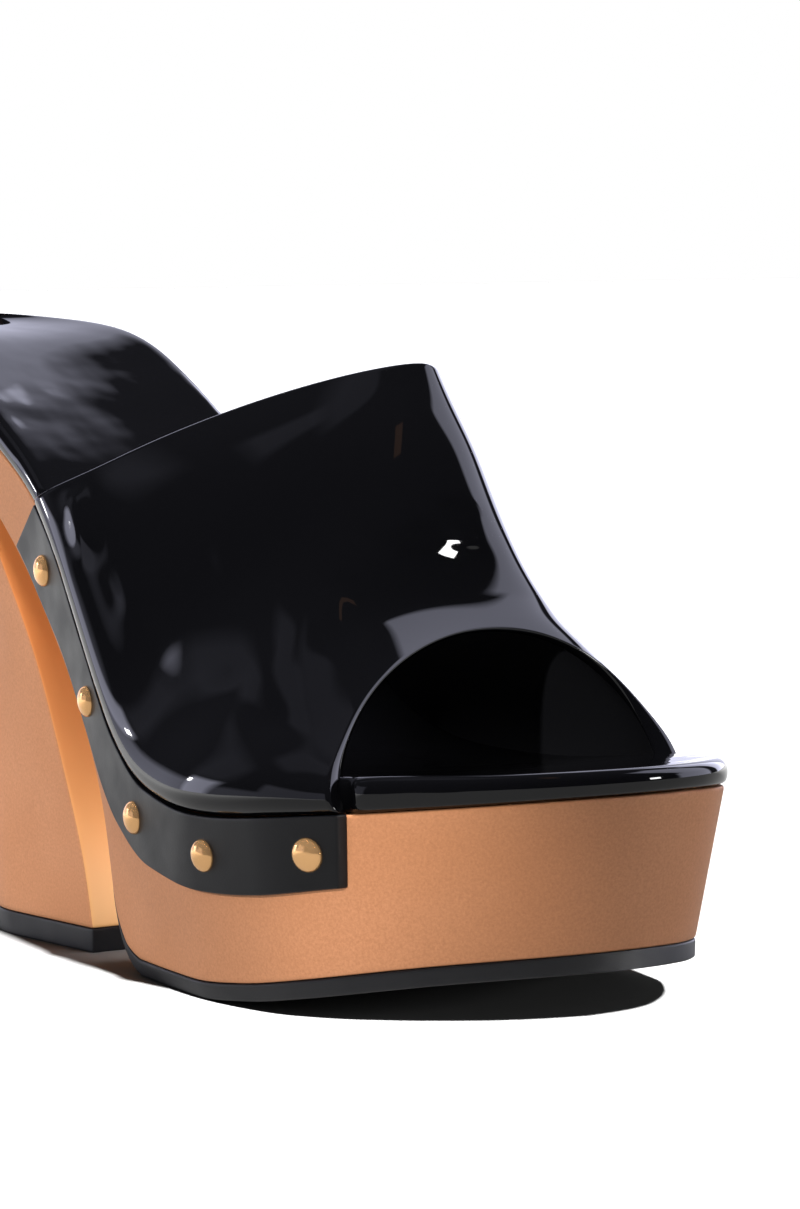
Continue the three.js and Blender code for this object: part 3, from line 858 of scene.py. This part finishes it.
# Studs: one dome set along a strip's points
stud = {
    "diameter": 6.2,
    "height": 1.8,
    "depth": 7,
    "runs": [0.075, 0.25, 0.449, 0.697, 0.946],
    "scale": (0.97, 1.03),
    "seed": 4,
}


def studTree():
    tree = bpy.data.node_groups.new("studRow", "GeometryNodeTree")
    face = tree.interface
    face.new_socket("Geometry", in_out="INPUT", socket_type="NodeSocketGeometry")
    for name in ("Diameter", "Height"):
        face.new_socket(name, in_out="INPUT", socket_type="NodeSocketFloat")
    face.new_socket("Seed", in_out="INPUT", socket_type="NodeSocketInt")
    face.new_socket("Material", in_out="INPUT", socket_type="NodeSocketMaterial")
    face.new_socket("Geometry", in_out="OUTPUT", socket_type="NodeSocketGeometry")
    given = addNode(tree, "NodeGroupInput").outputs
    radius = addNode(tree, "ShaderNodeMath", {0: given["Diameter"], 1: 0.5}, operation="MULTIPLY").outputs[0]
    dome = addNode(tree, "GeometryNodeMeshUVSphere", {
        "Segments": 40, "Rings": 24, "Radius": 1.0}).outputs["Mesh"]
    size = addNode(tree, "ShaderNodeCombineXYZ", {
        "X": radius, "Y": radius, "Z": given["Height"]}).outputs[0]
    shaped = addNode(tree, "GeometryNodeTransform", {"Geometry": dome, "Scale": size}).outputs[0]
    standing = addNode(tree, "GeometryNodeInputNamedAttribute", {"Name": "standing"},
                       data_type="FLOAT_VECTOR")
    turned = addNode(tree, "FunctionNodeAlignRotationToVector", {"Vector": standing.outputs[0]}, axis="Z")
    least, most = stud["scale"]
    varied = addNode(tree, "FunctionNodeRandomValue", {2: least, 3: most, "Seed": given["Seed"]},
                     data_type="FLOAT")
    placed = addNode(tree, "GeometryNodeInstanceOnPoints", {
        "Points": given["Geometry"], "Instance": shaped,
        "Rotation": turned.outputs[0], "Scale": varied.outputs[1]})
    real = addNode(tree, "GeometryNodeRealizeInstances", {"Geometry": placed.outputs[0]}).outputs[0]
    smooth = addNode(tree, "GeometryNodeSetShadeSmooth", {"Geometry": real}).outputs[0]
    done = addNode(tree, "GeometryNodeSetMaterial", {
        "Geometry": smooth, "Material": given["Material"]}).outputs[0]
    addNode(tree, "NodeGroupOutput", {"Geometry": done})
    return tree


def makeStuds(side, tree):
    face = fitGap + strip["thickness"]
    drop = stud["depth"] / strip["depth"]
    seats, standing = [], []
    for run in stud["runs"]:
        seat = stripPoint(side, run, drop, face)
        along = stripPoint(side, run + 0.01, drop, face) - stripPoint(side, run - 0.01, drop, face)
        down = stripPoint(side, run, drop + 0.1, face) - seat
        normal = np.cross(along, down)
        normal *= np.sign(normal[1]) * sides[side] / np.linalg.norm(normal)
        seats.append(toFrame(seat))
        standing.append(normal)
    mesh = bpy.data.meshes.new(f"studs_{side}")
    mesh.from_pydata([tuple(seat) for seat in seats], [], [])
    mesh.attributes.new("standing", "FLOAT_VECTOR", "POINT").data.foreach_set("vector", np.ravel(standing))
    piece = bpy.data.objects.new(f"studs_{side}", mesh)
    bpy.context.scene.collection.objects.link(piece)
    modifier = piece.modifiers.new("studs", "NODES")
    modifier.node_group = tree
    values = {"Diameter": stud["diameter"] * mm, "Height": stud["height"] * mm,
              "Seed": stud["seed"], "Material": goldStud}
    for item in tree.interface.items_tree:
        if item.in_out == "INPUT" and item.name in values:
            modifier[item.identifier] = values[item.name]
    return plain(piece)


studRow = studTree()
studs = {side: makeStuds(side, studRow) for side in sides}
print("studs set")

# Each piece, the nodes it replaces and the name of its finish; each piece rides on the root, and those nodes
# are hidden
stands = [
    (unit, ["platform", "heel"], "wood_look"),
    (topPiece, ["heel_top_piece"], "top_piece"),
    (tread, ["outsole"], "outsole_rubber"),
    (pad, ["insole"], "insole_patent"),
    (bandPiece, ["upper"], "upper_patent"),
]
for side in sides:
    stands.append((strips[side], [f"rand_strip_{side}"], "strip"))
    stands.append((studs[side], [f"stud_{side}_{i + 1}" for i in range(len(stud["runs"]))], "stud"))
for piece, nodes, slotName in stands:
    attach(piece, "root")
    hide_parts(*nodes)

# Camera, floor and light
view = {
    "azimuth": 55.0,
    "elevation": 5.2,
    "distance": 900,
    "focus": 4744,  # focal length in pixels of the 800 x 1209 frame
    "target": (130, 0, 60),
    "pixel": (334, 655),  # where the target shows
    "roll": 0.35,
    "frame": (800, 1209),
}


def makeCamera():
    azimuth, elevation = math.radians(view["azimuth"]), math.radians(view["elevation"])
    back = Vector((math.sin(azimuth) * math.cos(elevation), -math.cos(azimuth) * math.cos(elevation),
                   math.sin(elevation)))
    right = Vector((math.cos(azimuth), math.sin(azimuth), 0))
    up = back.cross(right)
    roll = math.radians(view["roll"])
    rolledRight = right * math.cos(roll) - up * math.sin(roll)
    rolledUp = right * math.sin(roll) + up * math.cos(roll)
    turn = Matrix((rolledRight, rolledUp, back)).transposed()
    camera = bpy.data.objects.new("camera", bpy.data.cameras.new("camera"))
    bpy.context.scene.collection.objects.link(camera)
    target = Vector(toFrame(view["target"]))
    camera.matrix_world = Matrix.Translation(target + back * view["distance"] * mm) @ turn.to_4x4()
    width, height = view["frame"]
    camera.data.sensor_width = 36
    camera.data.lens = camera.data.sensor_width * view["focus"] / height
    camera.data.shift_x = (width / 2 - view["pixel"][0]) / height
    camera.data.shift_y = (view["pixel"][1] - height / 2) / height
    camera.data.clip_start = 0.05
    camera.data.clip_end = 50
    bpy.context.scene.camera = camera


# Places along x and reach in metres; tones at the first place and at the second. The thrown and mirrored
# tones are painted shade: what the floor throws back darkens towards the toe, and what gloss mirrors darkens
# near the shoe
floorLook = {
    "reach": 8.0,
    "seen": "#8c8c8c",
    "thrownPaintedShade": {"places": (-0.05, 0.12), "tones": ("#646464", "#464646")},
    "mirrored": {"places": (-0.02, -0.4), "tones": ("#555555", "#8d8d8d")},
}


def paintedShadeAlong(tree, along, look):
    first, second = look["places"]
    share = addNode(tree, "ShaderNodeMapRange", {
        "Value": along, "From Min": first, "From Max": second}).outputs["Result"]
    return blend(tree, share, *(toLinear(tone) for tone in look["tones"]))


def makeFloor():
    # bright and even to the eye, dimmer in what it throws back on the shoe and in what gloss mirrors; those
    # two tones carry painted shade, darker towards the toe and near the shoe
    material, tree = newMaterial("pale_studio_floor")
    seen = addNode(tree, "ShaderNodeBsdfDiffuse", {"Color": toLinear(floorLook["seen"])})
    place = addNode(tree, "ShaderNodeTexCoord").outputs["Object"]
    along = addNode(tree, "ShaderNodeSeparateXYZ", {"Vector": place}).outputs["X"]
    # painted shade: the thrown-back tone darkens towards the toe, the mirrored tone darkens near the shoe
    thrownPaintedShade, mirrored = (paintedShadeAlong(tree, along, floorLook[key]) for key in ("thrownPaintedShade", "mirrored"))
    rays = addNode(tree, "ShaderNodeLightPath").outputs
    unseen = addNode(tree, "ShaderNodeBsdfDiffuse", {
        "Color": blend(tree, rays["Is Glossy Ray"], thrownPaintedShade, mirrored)})
    both = addNode(tree, "ShaderNodeMixShader", {
        "Fac": rays["Is Camera Ray"], 1: unseen.outputs[0], 2: seen.outputs[0]})
    finishMaterial(tree, both, material)
    mesh = bpy.data.meshes.new("floor")
    reach = floorLook["reach"]
    corners = [(-reach, -reach, 0), (reach, -reach, 0), (reach, reach, 0), (-reach, reach, 0)]
    mesh.from_pydata(corners, [], [(0, 1, 2, 3)])
    mesh.materials.append(material)
    floor = bpy.data.objects.new("floor", mesh)
    bpy.context.scene.collection.objects.link(floor)
    return floor


# What the gloss mirrors: white backdrops, a pale sweep above the floor and a dim room. Bearing, height
# and soft edge in degrees; a slant leans the card's first side with the height.
surroundings = {
    "room": 0.06,
    "tint": "#e6e7ff",
    "soft": 0.07,
    "cards": [
        {"bearing": (67, 89), "height": (18, 60), "soft": 4, "strength": 2.5, "slant": 0.5},
        {"bearing": (52, 89), "height": (-90, 18), "soft": 4, "strength": 2.3, "slant": 0},
        {"bearing": (103, 128), "height": (-90, 43), "soft": 2, "strength": 3.6, "slant": 0},
        {"bearing": (124, 180), "height": (-90, 46), "soft": 8, "strength": 1.3, "slant": 0},
        {"bearing": (-180, -154), "height": (-90, 12), "soft": 4, "strength": 1.0, "slant": 0},
        {"bearing": (-154, -143), "height": (-90, 16), "soft": 3, "strength": 2.6, "slant": 0},
        {"bearing": (-143, -125), "height": (-90, 11), "soft": 4, "strength": 0.45, "slant": 0},
        {"bearing": (-125, -95), "height": (-90, 25), "soft": 4, "strength": 0.45, "slant": 0},
        {"bearing": (-156, -143), "height": (17, 34), "soft": 6, "strength": 0.13, "slant": 0},
        {"bearing": (-143, -128), "height": (45, 62), "soft": 5, "strength": 0.15, "slant": 0},
        {"bearing": (-180, -115), "height": (62, 84), "soft": 7, "strength": 0.14, "slant": 0},
    ],
}


def addMath(tree, operation, *terms):
    return addNode(tree, "ShaderNodeMath", dict(enumerate(terms)), operation=operation).outputs[0]


def cardGlow(tree, card, bearing, height):
    soft = math.radians(card["soft"]) / 2
    leaning = addMath(tree, "MULTIPLY_ADD", height, card["slant"], bearing)
    (left, right), (low, high) = card["bearing"], card["height"]
    glow = card["strength"]
    for angle, end, turn in ((leaning, left, 1), (bearing, right, -1), (height, low, 1), (height, high, -1)):
        if end in (-180, 180, -90):
            continue  # nothing fades at the seam behind or straight down
        edge = math.radians(end)
        fade = addNode(tree, "ShaderNodeMapRange", {
            "Value": angle, "From Min": edge - soft * turn, "From Max": edge + soft * turn})
        glow = addMath(tree, "MULTIPLY", fade.outputs["Result"], glow)
    return glow


def makeWorld():
    # gloss mirrors the surroundings, other rays meet a soft even light, and the camera sees white
    white = toLinear("#ffffff")
    world = bpy.data.worlds.new("studio")
    bpy.context.scene.world = world
    world.use_nodes = True
    tree = world.node_tree
    tree.nodes.clear()
    way = addNode(tree, "ShaderNodeTexCoord").outputs["Generated"]
    split = addNode(tree, "ShaderNodeSeparateXYZ", {"Vector": way}).outputs
    bearing = addMath(tree, "ARCTAN2", split["Y"], split["X"])
    height = addMath(tree, "ARCSINE", split["Z"])
    total = surroundings["room"]
    for card in surroundings["cards"]:
        total = addMath(tree, "ADD", cardGlow(tree, card, bearing, height), total)
    mirrored = addNode(tree, "ShaderNodeBackground", {
        "Color": toLinear(surroundings["tint"]), "Strength": total})
    soft = addNode(tree, "ShaderNodeBackground", {"Color": white, "Strength": surroundings["soft"]})
    seen = addNode(tree, "ShaderNodeBackground", {"Color": white, "Strength": 1.0})
    rays = addNode(tree, "ShaderNodeLightPath").outputs
    unseen = addNode(tree, "ShaderNodeMixShader", {
        "Fac": rays["Is Glossy Ray"], 1: soft.outputs[0], 2: mirrored.outputs[0]})
    both = addNode(tree, "ShaderNodeMixShader", {
        "Fac": rays["Is Camera Ray"], 1: unseen.outputs[0], 2: seen.outputs[0]})
    addNode(tree, "ShaderNodeOutputWorld", {"Surface": both.outputs[0]})


# Bearing and height in degrees as seen from the shoe, aim in the sole's millimetres, the rest in metres
suns = [
    {"name": "floor", "bearing": -12, "height": 36, "spread": 3, "strength": 30, "lit": "floor"},
    {"name": "overhead", "bearing": 150, "height": 84, "spread": 40, "strength": 12, "lit": "shoe"},
    {"name": "left", "bearing": -140, "height": 25, "spread": 20, "strength": 0.35, "lit": "shoe"},
]
spots = [
    {"name": "key", "bearing": -60, "height": 15, "distance": 1.5, "aim": (80, 0, 50),
     "cone": 9.4, "fade": 0.4, "radius": 0.015, "power": 62},
    {"name": "platform", "bearing": -46, "height": 10, "distance": 1.5, "aim": (190, -25, 22),
     "cone": 3.2, "fade": 1.0, "radius": 0.004, "power": 46},
]
softboxes = [
    {"name": "arch", "bearing": 0, "height": 0, "distance": 0.028, "aim": (72, 0, 30),
     "size": (0.05, 0.045), "power": 0.018, "tint": "#ffffff", "mirrored": False},
    {"name": "streak", "bearing": -150, "height": 12, "distance": 1.0, "aim": (111, 0, 60),
     "size": (0.03, 0.05), "power": 0.2, "tint": "#ffffff", "mirrored": True},
    {"name": "glint", "bearing": 30, "height": 7, "distance": 1.0, "aim": (111, 0, 60),
     "size": (0.14, 0.11), "power": 1.4, "tint": "#ffffff", "mirrored": True},
    {"name": "warm slit", "bearing": -19, "height": 63, "distance": 1.0, "aim": (111, 0, 60),
     "size": (0.07, 0.22), "power": 0.022, "tint": "#d9a27c", "mirrored": True},
]


def addLamp(kind, row, mirrored=False, lit=(), **settings):
    # a lamp turned to what it lights; with no things given it lights everything
    light = bpy.data.lights.new(row["name"], kind)
    for name, value in settings.items():
        setattr(light, name, value)
    lamp = bpy.data.objects.new(row["name"], light)
    bpy.context.scene.collection.objects.link(lamp)
    bearing, height = math.radians(row["bearing"]), math.radians(row["height"])
    toLamp = Vector((math.cos(bearing) * math.cos(height), math.sin(bearing) * math.cos(height),
                     math.sin(height)))
    lamp.rotation_euler = toLamp.to_track_quat("Z", "Y").to_euler()
    if "aim" in row:
        lamp.location = Vector(toFrame(row["aim"])) + toLamp * row["distance"]
        lamp.visible_camera = False
    lamp.visible_glossy = mirrored
    if lit:
        lamp.light_linking.receiver_collection = bpy.data.collections.new(row["name"])
        for thing in lit:
            lamp.light_linking.receiver_collection.objects.link(thing)


def makeLights(floor):
    shoe = [thing for thing in bpy.context.scene.objects if thing.type == "MESH" and thing is not floor]
    things = {"floor": [floor], "shoe": shoe}
    for row in suns:
        addLamp("SUN", row, lit=things[row["lit"]], angle=math.radians(row["spread"]), energy=row["strength"])
    for row in spots:
        addLamp("SPOT", row, lit=shoe, spot_size=math.radians(row["cone"]), spot_blend=row["fade"],
                shadow_soft_size=row["radius"], energy=row["power"])
    for row in softboxes:
        wide, tall = row["size"]
        addLamp("AREA", row, row["mirrored"], shape="RECTANGLE", size=wide, size_y=tall,
                energy=row["power"], color=toLinear(row["tint"])[:3])


makeCamera()
makeWorld()
makeLights(makeFloor())
bpy.context.scene.view_settings.view_transform = "Standard"
bpy.context.scene.view_settings.look = "None"
print("studio set")
